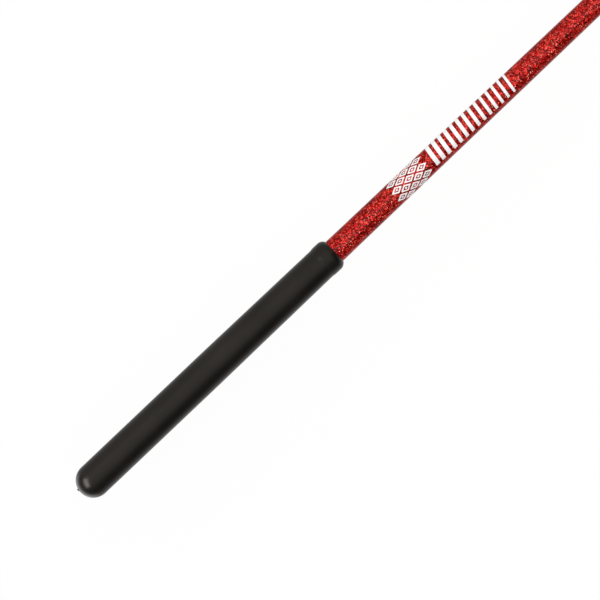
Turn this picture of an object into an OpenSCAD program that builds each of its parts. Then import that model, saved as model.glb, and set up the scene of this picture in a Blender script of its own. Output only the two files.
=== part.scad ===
// Rhythmic-gymnastics ribbon stick: a tapered fibreglass rod covered in glitter film and a clear
// sleeve, a closed rubber grip, and at the thin end a ferrule with a swivel eye, ring and snap hook.
// Millimetres. The stick lies on a flat surface: +X runs along the rod from the grip to the tip, and
// +Z is up. The origin is on that surface, under the middle of the whole length. The ring stands on
// the surface under the swivel's eye, and the snap hook lies flat.

/* [Stick] */
// Length from the rounded butt to the outside of the swivel eye
stick_len = 594; // [550:5:600]

/* [Grip] */
// Length of the rubber grip
grip_len = 100; // [90:1:110]
// Diameter of the grip's straight part
grip_d = 10.1; // [9.9:0.1:11]
// Length of the straight part, between the rounded butt and the taper
grip_straight_len = 45; // [30:1:60]
// Diameter at the thin end of the grip's taper
grip_neck_d = 9.65; // [9.5:0.05:9.8]
// Length of the raised lip round the grip's mouth
lip_len = 5.5; // [4.5:0.5:7]
// How far the lip stands proud of the taper
lip_rise = 0.15; // [0.05:0.05:0.2]
// Radius of the mouth's rounded edge, which runs in as far as the bore
mouth_round = 2.4; // [1.5:0.1:2.4]
// Rubber between the butt and the bottom of the bore
butt_wall = 8; // [7:0.5:12]

/* [Rod] */
// Diameter of the covered rod at the grip's mouth
rod_d = 7.4; // [6.8:0.1:7.6]
// Diameter of the covered rod where the ferrule starts
rod_tip_d = 4.4; // [4.1:0.05:4.5]
// Thickness of the glitter film
film_t = 0.1; // [0.05:0.05:0.15]
// Thickness of the clear sleeve
sleeve_t = 0.3; // [0.25:0.05:0.35]

/* [Printed decoration] */
// Distance from the grip's mouth to the first row of diamonds
print_start = 22.5; // [10:0.5:60]
// Rows of diamonds along the rod
diamond_rows = 5; // [1:1:7]
// Length of a diamond along the rod
diamond_len = 3.8; // [3:0.2:6]
// Number of bars
bar_count = 14; // [3:1:20]
// Width of the first and widest bar
bar_w = 1.3; // [1:0.1:2]
// Width of the last and narrowest bar
last_bar_w = 0.8; // [0.5:0.1:1]
// Distance from one bar to the next
bar_pitch = 2.3; // [2.2:0.1:4]
// How far a bar leans from straight across the rod
bar_lean = 8; // [0:1:15]
// Thickness of the ink
ink_t = 0.05; // [0.03:0.01:0.1]

/* [Ferrule] */
// Length of the metal ferrule
ferrule_len = 19; // [18:0.5:22]
// Outside diameter of the ferrule
ferrule_d = 5.2; // [5.1:0.1:6]
// Length of the rod's end that sits in the ferrule
socket_len = 10; // [8:0.5:11]
// Depth of a crimp groove
crimp_depth = 0.3; // [0.1:0.05:0.35]

/* [Swivel, ring and snap hook] */
// Radius of the wire of the two eyes
eye_wire_r = 0.6; // [0.5:0.05:0.6]
// Radius of the eyes' centre line
eye_r = 1.9; // [1.8:0.05:2.1]
// Radius of one coil's wire in the split ring
coil_wire_r = 0.4; // [0.3:0.05:0.4]
// Inside radius of the split ring
ring_in_r = 3; // [2.9:0.1:4]
// Length of the snap hook's straight spine
spine_len = 7.2; // [7:0.1:10]
// Radius of the snap hook's bows, at the centre of their wire
bow_r = 3.2; // [3.1:0.1:4]
// Radius of the snap hook's frame
frame_r = 0.85; // [0.8:0.05:0.9]
// Radius of the gate's bar
gate_r = 0.75; // [0.7:0.05:0.75]

/* [Hidden] */
fine = 96;           // facets of the large round shapes
small = 48;          // facets of the small ones
fit_gap = 0.01;      // bonded faces
run_gap = 0.06;      // stem in its hole, rivet in the gate
end_gap = 0.05;      // each side of the thrust washer, and between the halves of the nose's lap
link_gap = 0.2;      // between the ring and the wire of an eye
over = 1;            // how far a cutting or joining shape runs past a face

// Places along the rod, counted from the middle of the grip's straight part
butt_x = -(grip_straight_len + grip_d) / 2;
taper_x = grip_straight_len / 2;
mouth_x = butt_x + grip_len;
lip_x = mouth_x - lip_len;
lip_ramp = 1.2;      // length over which the lip rises
pocket = 0.2;        // empty space at the bottom of the bore, and at the bottom of the ferrule's socket
rod_butt_x = butt_x + butt_wall + pocket;
cover_x = rod_butt_x + 1;
butt_nub_r = 0.4;
butt_nub_offset = 0.9;
butt_nub_rise = 0.15;
eye_x = butt_x + stick_len - eye_r - eye_wire_r;
ferrule_gap = 3.5;   // from the ferrule's nose to the eye's centre
ferrule_front_x = eye_x - ferrule_gap;
ferrule_x = ferrule_front_x - ferrule_len;
cover_lap = 2;       // how far the film and the sleeve run into the ferrule
cover_end_x = ferrule_x + cover_lap;
rod_end_x = cover_end_x + socket_len;
chamber_x = rod_end_x + pocket;

// Radii of the rod's layers
rod_slope = (rod_d - rod_tip_d) / 2 / (ferrule_x - mouth_x);
function cover_r(x) = rod_d / 2 - max(0, x - mouth_x) * rod_slope;
core_depth = sleeve_t + film_t + 2 * fit_gap;
film_depth = sleeve_t + fit_gap;
glue_t = 0.15;
bore_r = rod_d / 2 + glue_t;

// Ferrule and swivel
chamber_r = 1.7;
nose_wall = 3.5;
chamber_end_x = ferrule_front_x - nose_wall;
stem_r = 0.7;
head_r = 1.5;
head_len = 0.8;
washer_len = 0.4;
washer_x = chamber_end_x - washer_len - end_gap;
head_x = washer_x - head_len - end_gap;
collar_r = 1.2;
collar_len = 0.6;
collar_gap = 0.15;
collar_x = ferrule_front_x + collar_gap;

// Ring and snap hook: the ring turns about the eye's wire until it stands on the surface, and the
// hook's tail is linked low in the ring, so that the hook lies flat
axis_z = max(grip_d / 2, grip_neck_d / 2 + lip_rise);   // height of the rod's axis
coil_r = ring_in_r + coil_wire_r;
ring_out_r = ring_in_r + 2 * coil_wire_r;
link_r = ring_in_r - link_gap - eye_wire_r;   // from the ring's centre to the wire of an eye
ring_drop = axis_z - ring_out_r;
ring_pivot_x = eye_x + eye_r;
ring_x = ring_pivot_x + sqrt(link_r * link_r - ring_drop * ring_drop);
tail_angle = 65;                          // how far down the ring the hook's tail is linked
snap_pivot_x = ring_x + link_r * cos(tail_angle);
snap_z = ring_out_r - link_r * sin(tail_angle);
tail_x = snap_pivot_x + eye_r;
shank_len = 2.1;                          // from the tail eye to the base bow
shank_r = 0.95;
base_x = tail_x + eye_r + shank_len + bow_r;   // centre of the base bow
top_x = base_x + spine_len;               // centre of the top bow
lap_len = 1;
nose_len = 2.1;                           // from the top bow to the end of the nose
lap_x = top_x - nose_len;                 // where the nose's half lap begins
knuckle_r = 1.25;
slot_h = 0.75;                            // half the height of the slot in the clevis
slot_len = 2;
slot_w = 3.4;
lug_low = -0.7;
lug_high = 0.1;
lug_r = 1;
slot_r = lug_r + 0.1;
rivet_r = 0.4;
rivet_head_r = 0.8;
rivet_head_len = 0.3;
knuckle_h = snap_z - rivet_head_len - fit_gap;
peg_r = 0.15;                             // the gate's peg for the spring's leg
peg_x = 0.95;
peg_y = 0.35;
peg_rise = 0.5;                           // how far the peg stands above the lug
spring_wire_r = 0.12;
spring_coil_r = 0.62;
gate_leg = 1.1;
hook_leg = 0.7;

// Where the whole stick stands
end_x = top_x + bow_r + frame_r;
origin_x = (butt_x - butt_nub_rise + end_x) / 2;

// Puts a shape drawn on the rod's axis where the stick lies
module on_axis() {
    translate([-origin_x, 0, axis_z]) children();
}

// Puts a shape drawn in the snap hook's plane where the hook lies
module on_hook() {
    translate([-origin_x, 0, snap_z]) children();
}

// Turns a shape drawn round Z so that it lies round X
module along_x() {
    rotate([0, 90, 0]) children();
}

// A solid of revolution round X from a half outline of [radius, x]
module turned(outline) {
    along_x() rotate_extrude($fn = fine) polygon(outline);
}

// A round bar along X
module bar_x(x0, x1, r, y = 0, z = 0) {
    translate([x0, y, z]) along_x() cylinder(h = x1 - x0, r = r, $fn = small);
}

// A ring round Z, or a part of one that starts at angle a0
module hoop(r, wire_r, a0 = 0, span = 360) {
    rotate([0, 0, a0]) rotate_extrude(angle = span, $fn = fine)
        translate([r, 0]) circle(wire_r, $fn = small);
}

// A tube that follows the covered rod's surface, between two depths under it
module layer(outer_depth, inner_depth, x0, x1) {
    turned([
        [cover_r(x0) - inner_depth, x0],
        [cover_r(x0) - outer_depth, x0],
        [cover_r(mouth_x) - outer_depth, mouth_x],
        [cover_r(x1) - outer_depth, x1],
        [cover_r(x1) - inner_depth, x1],
        [cover_r(mouth_x) - inner_depth, mouth_x]
    ]);
}

// Closed rubber grip with a rounded butt, a slight taper and a raised lip at its mouth
module rubber_grip() {
    neck_r = grip_neck_d / 2;
    lip_r = neck_r + lip_rise;
    color([0.07, 0.07, 0.07]) {
        along_x() rotate_extrude($fn = fine) difference() {
            union() {
                intersection() {
                    translate([0, butt_x + grip_d / 2]) circle(grip_d / 2, $fn = fine);
                    translate([0, butt_x - over]) square([grip_d, grip_d / 2 + over]);
                }
                polygon([
                    [0, butt_x + grip_d / 2],
                    [grip_d / 2, butt_x + grip_d / 2],
                    [grip_d / 2, taper_x],
                    [neck_r, lip_x],
                    [lip_r, lip_x + lip_ramp],
                    [lip_r, mouth_x - mouth_round],
                    [0, mouth_x - mouth_round]
                ]);
                square([lip_r - mouth_round, mouth_x]);
                translate([lip_r - mouth_round, mouth_x - mouth_round]) circle(mouth_round, $fn = small);
            }
            translate([0, butt_x + butt_wall]) square([bore_r, grip_len]);
        }
        // what the moulding gate leaves on the butt
        bar_x(butt_x - butt_nub_rise, butt_x + over, butt_nub_r, butt_nub_offset);
    }
}

// Glue between the grip and the covered rod
module grip_adhesive() {
    glue_x = rod_butt_x + 3;
    glue_end_x = mouth_x - 2;
    color([0.8, 0.74, 0.5])
        turned([
            [rod_d / 2 + fit_gap, glue_x],
            [bore_r - fit_gap, glue_x],
            [bore_r - fit_gap, glue_end_x],
            [rod_d / 2 + fit_gap, glue_end_x]
        ]);
}

// Solid fibreglass rod: straight inside the grip, then tapered, with a seat for the ferrule
module rod_core() {
    seat_r = cover_r(cover_end_x) - core_depth;
    edge = 0.4;
    color([0.86, 0.84, 0.74])
        turned([
            [0, rod_butt_x],
            [cover_r(rod_butt_x) - core_depth - edge, rod_butt_x],
            [cover_r(rod_butt_x) - core_depth, rod_butt_x + edge],
            [cover_r(mouth_x) - core_depth, mouth_x],
            [seat_r, cover_end_x],
            [seat_r, rod_end_x - edge],
            [seat_r - edge, rod_end_x],
            [0, rod_end_x]
        ]);
}

// Red glitter film wrapped round the rod
module glitter_film() {
    color([0.7, 0.08, 0.07]) layer(film_depth, film_depth + film_t, cover_x, cover_end_x - 2 * end_gap);
}

// Clear sleeve shrunk over the film
module clear_sleeve() {
    color([0.95, 0.85, 0.84, 0.35]) layer(0, sleeve_t, cover_x, cover_end_x - end_gap);
}

// A bar of ink across the rod's top and its +Y side, cut from a thin sleeve by a leaning plate
module ink_bar(x, width) {
    a0 = 75;         // where it starts, from straight down, and how far round it goes
    span = 147;
    r = cover_r(x);
    intersection() {
        along_x() rotate([0, 0, a0]) rotate_extrude(angle = span, $fn = fine)
            translate([r + fit_gap, x - rod_d / 2]) square([ink_t, rod_d]);
        rotate([a0 + span / 2 - 180, 0, 0]) translate([x, 0, 0]) rotate([0, 0, -bar_lean])
            translate([-width / 2, -rod_d, -rod_d]) cube([width, 2 * rod_d, 2 * rod_d]);
    }
}

// A flat diamond, long along X
module diamond(len, width) {
    polygon([[-len / 2, 0], [0, -width / 2], [len / 2, 0], [0, width / 2]]);
}

// A diamond of ink with an open ring round its heart, cut from a thin sleeve by a straight prism
module ink_diamond(x, angle, len, width) {
    hole = 0.58;     // as parts of the whole diamond
    heart = 0.26;
    r = cover_r(x);
    intersection() {
        turned([
            [r + fit_gap, x - len / 2 - over],
            [r + fit_gap + ink_t, x - len / 2 - over],
            [r + fit_gap + ink_t, x + len / 2 + over],
            [r + fit_gap, x + len / 2 + over]
        ]);
        rotate([angle, 0, 0]) translate([x, 0, over]) {
            linear_extrude(rod_d) difference() {
                diamond(len, width);
                diamond(len * hole, width * hole);
            }
            linear_extrude(rod_d) diamond(len * heart, width * heart);
        }
    }
}

// White decoration: rows of diamonds, then leaning bars that get narrower
module printed_marks() {
    diamond_w = 2.1;
    first_angle = -90;      // round the rod, from straight up, for the even rows
    last_angle = 40;
    diamond_step = 42;
    row_gap = 0.5;
    bars_gap = 2.8;         // from the diamonds to the middle of the first bar
    row_pitch = diamond_len / 2 + row_gap;
    rows_x = mouth_x + print_start + diamond_len / 2;
    bars_x = rows_x + row_pitch * (diamond_rows - 1) + diamond_len / 2 + bars_gap;
    shrink = (bar_w - last_bar_w) / (bar_count - 1);
    color([0.96, 0.96, 0.95]) {
        for (i = [0:diamond_rows - 1]) {
            shift = (i % 2) * diamond_step / 2;
            for (a = [first_angle:diamond_step:last_angle])
                ink_diamond(rows_x + i * row_pitch, a + shift, diamond_len, diamond_w);
        }
        for (i = [0:bar_count - 1])
            ink_bar(bars_x + i * bar_pitch, bar_w - i * shrink);
    }
}

// Nickelled brass ferrule: a socket for the rod, a chamber for the swivel's head, and a bored nose
module tip_ferrule() {
    r = ferrule_d / 2;
    edge = 0.35;
    cone_len = 2.2;
    nose_r = r - 0.9;
    groove_r = 0.6;
    groove_places = [5, 8.5];
    mouth_r = cover_r(ferrule_x) + 2 * fit_gap;
    socket_r = cover_r(cover_end_x) - core_depth + fit_gap;
    color([0.78, 0.77, 0.74])
        along_x() rotate_extrude($fn = fine) difference() {
            polygon([
                [0, ferrule_x],
                [r - edge, ferrule_x],
                [r, ferrule_x + edge],
                [r, ferrule_front_x - cone_len],
                [nose_r, ferrule_front_x - edge],
                [nose_r - edge, ferrule_front_x],
                [0, ferrule_front_x]
            ]);
            for (place = groove_places)
                translate([r + groove_r - crimp_depth, ferrule_x + place]) circle(groove_r, $fn = small);
            translate([0, ferrule_x - over]) square([mouth_r, cover_lap + over]);
            translate([0, ferrule_x]) square([socket_r, chamber_x - ferrule_x]);
            translate([0, chamber_x]) square([chamber_r, chamber_end_x - chamber_x]);
            translate([0, ferrule_x]) square([stem_r + run_gap, ferrule_len + over]);
        }
}

// Low-friction washer between the swivel's head and the ferrule's nose
module thrust_washer() {
    washer_r = chamber_r - 0.1;
    color([0.93, 0.93, 0.9])
        along_x() translate([0, 0, washer_x]) difference() {
            cylinder(h = washer_len, r = washer_r, $fn = small);
            translate([0, 0, -over])
                cylinder(h = washer_len + 2 * over, r = stem_r + 2 * run_gap, $fn = small);
        }
}

// Swivel: a headed stem that turns in the ferrule's nose, with a flat eye
module swivel_eye() {
    color([0.8, 0.8, 0.8]) {
        bar_x(head_x, head_x + head_len, head_r);
        bar_x(head_x + head_len / 2, eye_x - eye_r, stem_r);
        bar_x(collar_x, collar_x + collar_len, collar_r);
        translate([eye_x, 0, 0]) hoop(eye_r, eye_wire_r);
    }
}

// Split ring of two coils, standing in the XZ plane
module split_ring() {
    color([0.8, 0.8, 0.8])
        translate([ring_x - origin_x, 0, ring_out_r]) rotate([90, 0, 0]) rotate_extrude($fn = fine) {
            for (z = [-coil_wire_r, coil_wire_r])
                translate([coil_r, z]) circle(coil_wire_r, $fn = small);
            translate([coil_r - coil_wire_r, -coil_wire_r]) square(2 * coil_wire_r);
        }
}

// Snap hook: a tail eye, and an open frame in the same plane with a clevis for the gate
module snap_body() {
    gate_y = -bow_r;
    cut = 4;
    color([0.76, 0.76, 0.75])
        difference() {
            union() {
                translate([tail_x, 0, 0]) hoop(eye_r, eye_wire_r);
                bar_x(tail_x + eye_r, base_x - bow_r, shank_r);
                translate([base_x, 0, 0]) hoop(bow_r, frame_r, 90, 180);
                bar_x(base_x, top_x, frame_r, bow_r);
                translate([top_x, 0, 0]) hoop(bow_r, frame_r, -90, 180);
                bar_x(lap_x, top_x, frame_r, gate_y);
                translate([base_x, gate_y, -knuckle_h])
                    cylinder(h = 2 * knuckle_h, r = knuckle_r, $fn = small);
            }
            // slot for the gate's lug and its spring
            translate([base_x, gate_y, -slot_h]) cylinder(h = 2 * slot_h, r = slot_r, $fn = small);
            translate([base_x, gate_y - slot_r, -slot_h]) cube([slot_len, slot_w, 2 * slot_h]);
            translate([base_x, gate_y, -cut / 2]) cylinder(h = cut, r = rivet_r + fit_gap, $fn = small);
            // inner half of the nose's lap
            translate([lap_x - over, gate_y - end_gap, -cut / 2]) cube([lap_len + over, cut, cut]);
        }
}

// Gate: a lug on the rivet with a peg for the spring, a round bar, and a half lap that closes on the
// nose from inside
module snap_gate() {
    gate_y = -bow_r;
    gap = 0.1;              // from the bar's ends to the hook
    cut = 4;
    lug_w = 1.3;
    bar_start_x = base_x + knuckle_r + gap;
    color([0.82, 0.82, 0.82])
        difference() {
            union() {
                translate([base_x, gate_y, lug_low]) cylinder(h = lug_high - lug_low, r = lug_r, $fn = small);
                translate([base_x, gate_y - lug_w / 2, lug_low])
                    cube([knuckle_r + 0.6, lug_w, lug_high - lug_low]);
                bar_x(bar_start_x, lap_x + lap_len - gap, gate_r, gate_y);
                translate([base_x + peg_x, gate_y + peg_y, lug_low])
                    cylinder(h = lug_high + peg_rise - lug_low, r = peg_r, $fn = small);
            }
            translate([base_x, gate_y, -cut / 2]) cylinder(h = cut, r = rivet_r + run_gap, $fn = small);
            translate([lap_x - gap, gate_y + end_gap - cut, -cut / 2]) cube([lap_len + over, cut, cut]);
        }
}

// Rivet through the snap hook's clevis, headed on both sides
module gate_rivet() {
    head_z = knuckle_h + fit_gap;
    overlap = 0.1;          // of the shank and each head
    color([0.7, 0.68, 0.62])
        translate([base_x, -bow_r, 0]) {
            translate([0, 0, -head_z - overlap])
                cylinder(h = 2 * (head_z + overlap), r = rivet_r, $fn = small);
            for (side = [0, 180])
                rotate([side, 0, 0]) translate([0, 0, head_z])
                    cylinder(h = rivet_head_len, r1 = rivet_head_r, r2 = rivet_r, $fn = small);
        }
}

// Torsion spring beside the lug: two touching turns, a leg on the gate's peg and a leg on the hook
module gate_spring() {
    turn_r = spring_wire_r - 0.005;
    leg_r = spring_wire_r - 0.02;
    leg_z = lug_high + end_gap + turn_r;
    turn_z = leg_z + 2 * turn_r;
    color([0.75, 0.75, 0.78])
        translate([base_x, -bow_r, 0]) {
            rotate_extrude($fn = small) {
                for (z = [leg_z, turn_z])
                    translate([spring_coil_r, z]) circle(turn_r, $fn = 24);
                translate([spring_coil_r - turn_r / 2, leg_z]) square([turn_r, turn_z - leg_z]);
            }
            translate([0, spring_coil_r, leg_z]) along_x() cylinder(h = gate_leg, r = leg_r, $fn = 24);
            translate([-hook_leg, -spring_coil_r, turn_z]) along_x()
                cylinder(h = hook_leg, r = leg_r, $fn = 24);
        }
}

on_axis() rubber_grip();
on_axis() grip_adhesive();
on_axis() rod_core();
on_axis() glitter_film();
on_axis() clear_sleeve();
on_axis() printed_marks();
on_axis() tip_ferrule();
on_axis() thrust_washer();
on_axis() swivel_eye();
split_ring();
on_hook() snap_body();
on_hook() snap_gate();
on_hook() gate_rivet();
on_hook() gate_spring();
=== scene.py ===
"""Looks for the ribbon stick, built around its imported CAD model. Metres, in the model's own frame."""

import math

import bmesh
import bpy
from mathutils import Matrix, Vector


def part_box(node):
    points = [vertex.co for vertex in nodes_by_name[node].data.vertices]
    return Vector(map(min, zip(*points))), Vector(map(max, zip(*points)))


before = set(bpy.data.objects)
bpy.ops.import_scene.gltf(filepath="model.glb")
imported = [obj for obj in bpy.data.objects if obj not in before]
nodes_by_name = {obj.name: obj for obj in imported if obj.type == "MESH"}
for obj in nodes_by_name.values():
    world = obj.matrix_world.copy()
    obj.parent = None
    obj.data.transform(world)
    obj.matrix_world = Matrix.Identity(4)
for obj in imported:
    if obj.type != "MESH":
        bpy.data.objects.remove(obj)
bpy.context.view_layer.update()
scene = bpy.context.scene

BLACK = (0, 0, 0)
WHITE = (1, 1, 1)


# ---------------------------------------------------------------- material helpers
def new_material(name):
    """An empty material, with its node tree and its output node."""
    material = bpy.data.materials.new(name)
    material.use_nodes = True
    material.node_tree.nodes.clear()
    out = material.node_tree.nodes.new("ShaderNodeOutputMaterial")
    return material, material.node_tree, out


def add(tree, kind, **settings):
    """A node of a kind, with its properties set."""
    node = tree.nodes.new(kind)
    for key, value in settings.items():
        setattr(node, key, value)
    return node


def principled(tree, out, **values):
    """A Principled shader on the output, with constants on its own sockets."""
    node = add(tree, "ShaderNodeBsdfPrincipled")
    for key, value in values.items():
        node.inputs[key.replace("_", " ")].default_value = value
    tree.links.new(node.outputs["BSDF"], out.inputs["Surface"])
    return node


def feed(tree, socket, value):
    """Links a socket to another, or sets it where the value is a constant."""
    if isinstance(value, bpy.types.NodeSocket):
        tree.links.new(value, socket)
    else:
        socket.default_value = value


def coords(tree, stretch=(1, 1, 1)):
    """Object coordinates in metres, times stretch."""
    place = add(tree, "ShaderNodeTexCoord")
    mapping = add(tree, "ShaderNodeMapping")
    mapping.inputs["Scale"].default_value = stretch
    tree.links.new(place.outputs["Object"], mapping.inputs["Vector"])
    return mapping.outputs["Vector"]


def noise(tree, vector, scale, detail=3.0, rough=0.5):
    """Cloudy noise, as a number. Its scale is in clouds to a metre."""
    node = add(tree, "ShaderNodeTexNoise")
    node.inputs["Scale"].default_value = scale
    node.inputs["Detail"].default_value = detail
    node.inputs["Roughness"].default_value = rough
    tree.links.new(vector, node.inputs["Vector"])
    return node.outputs["Fac"]


def cells(tree, vector, scale):
    """Cells that fill the space, each of one random colour. The scale is in cells to a metre."""
    node = add(tree, "ShaderNodeTexVoronoi", feature="F1", voronoi_dimensions="3D")
    node.inputs["Scale"].default_value = scale
    tree.links.new(vector, node.inputs["Vector"])
    return node.outputs["Color"]


def channels(tree, colour):
    """A colour's Red, Green and Blue."""
    node = add(tree, "ShaderNodeSeparateColor")
    tree.links.new(colour, node.inputs["Color"])
    return node.outputs


def ramp(tree, value, stops):
    """A colour ramp from (position, colour) stops."""
    node = add(tree, "ShaderNodeValToRGB")
    elements = node.color_ramp.elements
    while len(elements) > 1:
        elements.remove(elements[-1])
    first_position, first_colour = stops[0]
    elements[0].position = first_position
    elements[0].color = (*first_colour, 1)
    for position, colour in stops[1:]:
        elements.new(position).color = (*colour, 1)
    tree.links.new(value, node.inputs["Fac"])
    return node.outputs["Color"]


def remap(tree, value, old, new, smooth=False):
    """A number taken from one range to another, and held at both ends."""
    node = add(tree, "ShaderNodeMapRange")
    if smooth:
        node.interpolation_type = "SMOOTHSTEP"
    node.inputs["From Min"].default_value, node.inputs["From Max"].default_value = old
    node.inputs["To Min"].default_value, node.inputs["To Max"].default_value = new
    tree.links.new(value, node.inputs["Value"])
    return node.outputs["Result"]


def number_node(tree, operation, *values):
    """An operation on numbers, each a socket or a constant."""
    node = add(tree, "ShaderNodeMath", operation=operation)
    for socket, value in zip(node.inputs, values):
        feed(tree, socket, value)
    return node.outputs["Value"]


def vector_node(tree, operation, *values):
    """An operation on vectors, each a socket or a constant."""
    node = add(tree, "ShaderNodeVectorMath", operation=operation)
    for socket, value in zip(node.inputs, values):
        feed(tree, socket, value)
    return node.outputs["Vector"]


def mix_colour(tree, share, a, b):
    """Colour a where share is 0, and colour b where it is 1."""
    node = add(tree, "ShaderNodeMix", data_type="RGBA")
    # of this node's sockets, these are the ones for colours
    factor, first, second = node.inputs[0], node.inputs[6], node.inputs[7]
    feed(tree, factor, share)
    feed(tree, first, a)
    feed(tree, second, b)
    return node.outputs[2]


def bump(tree, height, strength, distance):
    """A normal that a height tilts."""
    node = add(tree, "ShaderNodeBump")
    node.inputs["Strength"].default_value = strength
    node.inputs["Distance"].default_value = distance
    tree.links.new(height, node.inputs["Height"])
    return node.outputs["Normal"]


# most of a noise lies in the first range, and most of the product of two in the second
NOISE_RANGE = (0.3, 0.7)
PRODUCT_RANGE = (0.12, 0.40)


def mottle(tree, value, dark, light):
    """A colour that wanders from dark to light with a noise."""
    low, high = NOISE_RANGE
    return ramp(tree, value, [(low, dark), (high, light)])


def dress(node, material):
    """Gives a CAD node a material."""
    for slot in nodes_by_name[node].material_slots:
        slot.material = material


# ---------------------------------------------------------------- rubber, glitter and ink
RUBBER_DARK = (0.0063, 0.0053, 0.0044)
RUBBER_LIGHT = (0.0092, 0.0079, 0.0067)


def rubber():
    """Satin black rubber, a little uneven, with a fine grain."""
    m, t, out = new_material("grip_rubber_look")
    p = principled(t, out, IOR=1.30, Specular_Tint=(1.0, 0.93, 0.87, 1))
    v = coords(t)
    clouds = noise(t, v, scale=90, detail=4, rough=0.55)
    grain = noise(t, v, scale=5200, detail=2)
    t.links.new(mottle(t, clouds, RUBBER_DARK, RUBBER_LIGHT), p.inputs["Base Color"])
    t.links.new(remap(t, clouds, NOISE_RANGE, (0.26, 0.32)), p.inputs["Roughness"])
    t.links.new(bump(t, grain, strength=0.25, distance=0.00003), p.inputs["Normal"])
    return m


# flakes to a metre, and how much of the tone comes from the big ones
BIG_FLAKES, FINE_FLAKES = 2100, 4300
BIG_SHARE = 0.6
FLAKE_TONES = [
    (0.12, (0.13, 0.002, 0.002)),
    (0.30, (0.23, 0.004, 0.003)),
    (0.50, (0.48, 0.006, 0.005)),
    (0.68, (0.78, 0.018, 0.013)),
    (0.84, (0.99, 0.110, 0.075)),
]
# about one fine flake in thirty is given a pale pink tone, as a painted glint
PAINTED_GLINT_FROM, PAINTED_GLINT_FULL = 0.965, 0.975
PAINTED_GLINT_COLOUR = (1.0, 0.32, 0.24, 1)


def leaning_normal(tree, flakes):
    """The surface's normal, with each flake leaning its own way, as its random colour says."""
    middle = (0.5, 0.5, 0.5)
    lean = vector_node(tree, "SUBTRACT", flakes, middle)
    surface = add(tree, "ShaderNodeNewGeometry").outputs["Normal"]
    return vector_node(tree, "NORMALIZE", vector_node(tree, "ADD", surface, lean))


def glitter():
    """Red flakes of two sizes, each with its own tone, polish and lean, under a clear, shiny coat."""
    m, t, out = new_material("glitter_look")
    p = principled(t, out, IOR=1.5, Specular_Tint=(0.25, 0.20, 0.20, 1),
                   Coat_Weight=1.0, Coat_Roughness=0.04, Coat_IOR=1.18)
    v = coords(t)
    big = channels(t, cells(t, v, BIG_FLAKES))
    fine_flakes = cells(t, v, FINE_FLAKES)
    fine = channels(t, fine_flakes)
    tone = number_node(t, "ADD", number_node(t, "MULTIPLY", big["Red"], BIG_SHARE),
                       number_node(t, "MULTIPLY", fine["Red"], 1 - BIG_SHARE))
    # a few fine flakes get a pale pink base colour, painted glints
    painted_glint = ramp(t, fine["Green"], [(PAINTED_GLINT_FROM, BLACK), (PAINTED_GLINT_FULL, WHITE)])
    colour = mix_colour(t, painted_glint, ramp(t, tone, FLAKE_TONES), PAINTED_GLINT_COLOUR)
    t.links.new(colour, p.inputs["Base Color"])
    t.links.new(remap(t, big["Green"], (0, 1), (0.85, 1.0)), p.inputs["Metallic"])
    t.links.new(remap(t, fine["Blue"], (0, 1), (0.26, 0.42)), p.inputs["Roughness"])
    t.links.new(leaning_normal(t, fine_flakes), p.inputs["Normal"])
    return m


def ink():
    """White ink with a light gloss, and a faint glow that is painted light: it stands for the light
    that white paper throws on it.
    """
    m, t, out = new_material("white_ink_and_painted_glow_look")
    # the emission here is painted light, a faint glow for the light that white paper throws back
    p = principled(t, out, Roughness=0.38, IOR=1.45, Coat_Weight=0.3, Coat_Roughness=0.15,
                   Emission_Color=(1, 1, 1, 1), Emission_Strength=0.15)
    clouds = noise(t, coords(t), scale=700)
    t.links.new(mottle(t, clouds, (0.86, 0.85, 0.84), (0.93, 0.925, 0.92)), p.inputs["Base Color"])
    return m


# ---------------------------------------------------------------- metal and the hidden pieces
NICKEL = ((0.44, 0.41, 0.36), (0.56, 0.53, 0.47))
STEEL = ((0.40, 0.40, 0.40), (0.53, 0.53, 0.52))


def metal(name, tones, rough, grain, stretch=(1, 1, 1), relief=0.000004, strength=0.3):
    """Metal with a fine grain, which stretch draws into lines, and smudges in its polish."""
    m, t, out = new_material(name)
    p = principled(t, out, Metallic=1.0)
    lines = noise(t, coords(t, stretch), scale=grain, detail=4, rough=0.6)
    smudge = noise(t, coords(t), scale=160)
    dark, light = tones
    t.links.new(mottle(t, smudge, dark, light), p.inputs["Base Color"])
    wear = number_node(t, "MULTIPLY", lines, smudge)
    t.links.new(remap(t, wear, PRODUCT_RANGE, rough), p.inputs["Roughness"])
    t.links.new(bump(t, lines, strength, relief), p.inputs["Normal"])
    return m


def plain(name, colour, rough):
    """A dull, slightly uneven material for a piece inside the others."""
    m, t, out = new_material(name)
    p = principled(t, out, Roughness=rough)
    darkest = 0.85
    dark = tuple(c * darkest for c in colour)
    clouds = noise(t, coords(t), scale=400)
    t.links.new(mottle(t, clouds, dark, colour), p.inputs["Base Color"])
    return m


# ---------------------------------------------------------------- each node's look
covers_look = glitter()
dress("rubber_grip", rubber())
dress("clear_sleeve", covers_look)
dress("glitter_film", covers_look)
dress("printed_marks", ink())
dress("grip_adhesive", plain("glue_look", (0.62, 0.52, 0.25), rough=0.5))
dress("rod_core", plain("fibreglass_look", (0.72, 0.68, 0.55), rough=0.45))
dress("thrust_washer", plain("washer_look", (0.85, 0.85, 0.82), rough=0.4))
# turned on a lathe, so its lines run round it
turned_look = metal("ferrule_look", NICKEL, rough=(0.16, 0.34), grain=120.0, stretch=(60, 1, 1),
                    relief=0.000006, strength=0.35)
dress("tip_ferrule", turned_look)
dress("swivel_eye", metal("swivel_look", STEEL, rough=(0.18, 0.36), grain=1400.0))
dress("split_ring", metal("ring_look", STEEL, rough=(0.10, 0.24), grain=900.0))
cast_look = metal("hook_look", NICKEL, rough=(0.14, 0.34), grain=1100.0, relief=0.000008,
                  strength=0.4)
dress("snap_body", cast_look)
dress("snap_gate", cast_look)
dress("gate_rivet", metal("rivet_look", STEEL, rough=(0.22, 0.40), grain=1400.0))
dress("gate_spring", metal("spring_look", STEEL, rough=(0.20, 0.35), grain=2400.0))


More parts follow.
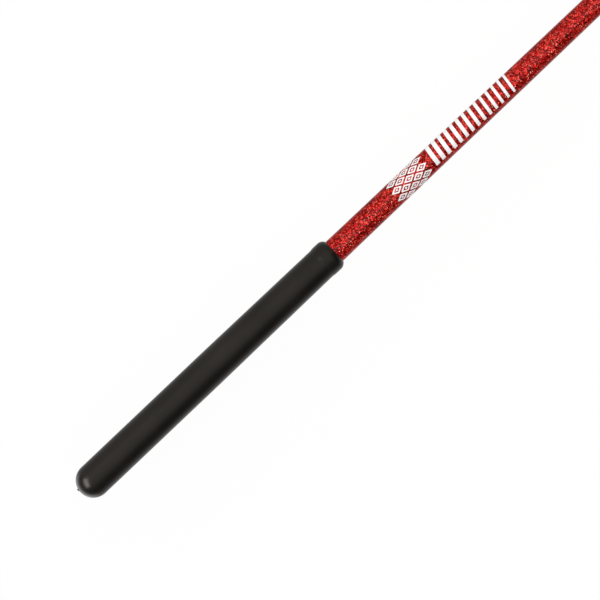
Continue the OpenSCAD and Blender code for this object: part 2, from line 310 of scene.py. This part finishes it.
# ---------------------------------------------------------------- floor and backdrop
def camera_only(obj):
    """The camera sees this stage piece, and the stick neither mirrors it nor is lit or shaded by it."""
    obj.visible_glossy = False
    obj.visible_diffuse = False
    obj.visible_shadow = False


def make_floor():
    """White paper, lit from below: it shows white and takes only a trace of the stick's shadow.

    It lies a hook's length under the stick, so that the hook has room to hang down in every pose.
    """
    half = 12.0
    hook_low, hook_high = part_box("snap_body")
    z = hook_low[0] - hook_high[0]
    corners = [(-half, -half, z), (half, -half, z), (half, half, z), (-half, half, z)]
    mesh = bpy.data.meshes.new("floor")
    mesh.from_pydata(corners, [], [(0, 1, 2, 3)])
    floor = bpy.data.objects.new("floor", mesh)
    scene.collection.objects.link(floor)
    material, tree, out = new_material("floor_look")
    principled(tree, out, Base_Color=(0.12, 0.12, 0.12, 1), Roughness=0.9, Specular_IOR_Level=0.0,
               Emission_Color=(1, 1, 1, 1), Emission_Strength=0.93)
    mesh.materials.append(material)
    camera_only(floor)


def make_backdrop():
    """A white dome that the camera sees behind the stick from low down."""
    mesh = bpy.data.meshes.new("backdrop")
    work = bmesh.new()
    bmesh.ops.create_icosphere(work, subdivisions=4, radius=11.5)
    bmesh.ops.reverse_faces(work, faces=work.faces)
    work.to_mesh(mesh)
    work.free()
    dome = bpy.data.objects.new("backdrop", mesh)
    scene.collection.objects.link(dome)
    material, tree, out = new_material("backdrop_look")
    glow = add(tree, "ShaderNodeEmission")
    glow.inputs["Color"].default_value = (1, 1, 1, 1)
    tree.links.new(glow.outputs["Emission"], out.inputs["Surface"])
    mesh.materials.append(material)
    camera_only(dome)


make_floor()
make_backdrop()


# ---------------------------------------------------------------- light
# The sky's brightness against the angle off straight up, in degrees. On +Y it fades gently. On -Y a
# dark panel stands above the horizon, and on -X another, with a bright strip below the horizon.
SKY_POWER = 1.6
PLUS_Y_SKY = [
    (0, 0.71), (40, 0.62), (60, 0.53), (80, 0.45), (100, 0.40), (125, 0.44), (180, 0.55),
]
MINUS_Y_SKY = [
    (0, 0.71), (20, 0.62), (46, 0.12), (60, 0.03), (82, 0.05), (92, 0.24), (106, 0.45),
    (120, 0.65), (180, 0.55),
]
MINUS_X_SKY = [
    (0, 0.71), (25, 0.56), (40, 0.28), (62, 0.04), (94, 0.03), (106, 0.60), (118, 1.50),
    (140, 1.50), (180, 0.70),
]
# a direction's Y where -Y's sky turns into +Y's, and its X where both turn into -X's
Y_BLEND = (-0.18, 0.18)
X_BLEND = (-0.25, -0.6)


def brightness(tree, off_top, stops):
    """A grey by how far a direction is off straight up, as a share of 180 degrees."""
    return ramp(tree, off_top, [(angle / 180, (level, level, level)) for angle, level in stops])


def make_world():
    """A soft studio all round the stick."""
    world = bpy.data.worlds.new("studio")
    world.use_nodes = True
    scene.world = world
    tree = world.node_tree
    tree.nodes.clear()
    out = add(tree, "ShaderNodeOutputWorld")
    background = add(tree, "ShaderNodeBackground")
    tree.links.new(background.outputs["Background"], out.inputs["Surface"])
    direction = add(tree, "ShaderNodeSeparateXYZ")
    tree.links.new(add(tree, "ShaderNodeTexCoord").outputs["Generated"], direction.inputs["Vector"])
    angle = number_node(tree, "ARCCOSINE", direction.outputs["Z"])
    off_top = number_node(tree, "DIVIDE", angle, math.pi)
    plus_y = brightness(tree, off_top, PLUS_Y_SKY)
    minus_y = brightness(tree, off_top, MINUS_Y_SKY)
    minus_x = brightness(tree, off_top, MINUS_X_SKY)
    side = remap(tree, direction.outputs["Y"], Y_BLEND, (0.0, 1.0), smooth=True)
    end = remap(tree, direction.outputs["X"], X_BLEND, (0.0, 1.0), smooth=True)
    sky = mix_colour(tree, end, mix_colour(tree, side, minus_y, plus_y), minus_x)
    tree.links.new(sky, background.inputs["Color"])
    background.inputs["Strength"].default_value = SKY_POWER


def softbox(name, aim, away, size, power, lit_nodes):
    """A rectangular light at aim + away that faces aim and lights only the nodes that are named."""
    data = bpy.data.lights.new(name, "AREA")
    data.shape = "RECTANGLE"
    data.size, data.size_y = size
    data.energy = power
    light = bpy.data.objects.new(name, data)
    scene.collection.objects.link(light)
    light.location = Vector(aim) + Vector(away)
    light.rotation_euler = Vector(away).to_track_quat("Z", "Y").to_euler()
    light.visible_camera = False
    lit = bpy.data.collections.new("lit_by_" + name)
    for node in lit_nodes:
        lit.objects.link(nodes_by_name[node])
    light.light_linking.receiver_collection = lit


make_world()

grip_low, grip_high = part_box("rubber_grip")
axis_z = (grip_low[2] + grip_high[2]) / 2
butt = (grip_low[0], 0.0, axis_z)
stick_middle = (0.0, 0.0, axis_z)
# beyond the butt and half way up, for the spot on the grip's rounded end
softbox("end_light", aim=butt, away=(-1.75, 0.7, 1.75), size=(2.5, 1.3), power=105.0,
        lit_nodes=["rubber_grip"])
# above the rod, for the bright band along the glitter
softbox("rod_light", aim=stick_middle, away=(0.0, -0.08, 1.5), size=(1.6, 1.5), power=10.0,
        lit_nodes=["clear_sleeve", "glitter_film", "printed_marks"])


# ---------------------------------------------------------------- camera
def make_camera():
    """Straight down on the grip, turned so that the rod runs to the top right corner."""
    lens, sensor = 200.0, 36.0
    turn = math.radians(43.5)
    seen_width = 0.1709                 # at the height of the stick's axis
    along, aside = 0.0832, -0.0033      # from the butt to the middle of the view
    height = seen_width * lens / sensor
    data = bpy.data.cameras.new("camera")
    data.type = "PERSP"
    data.lens = lens
    data.sensor_width = sensor
    data.clip_start, data.clip_end = 0.01, 100
    camera = bpy.data.objects.new("camera", data)
    scene.collection.objects.link(camera)
    camera.location = (butt[0] + along, aside, axis_z + height)
    camera.rotation_euler = (0, 0, -turn)
    scene.camera = camera


make_camera()
scene.view_settings.view_transform = "Standard"
scene.view_settings.look = "None"
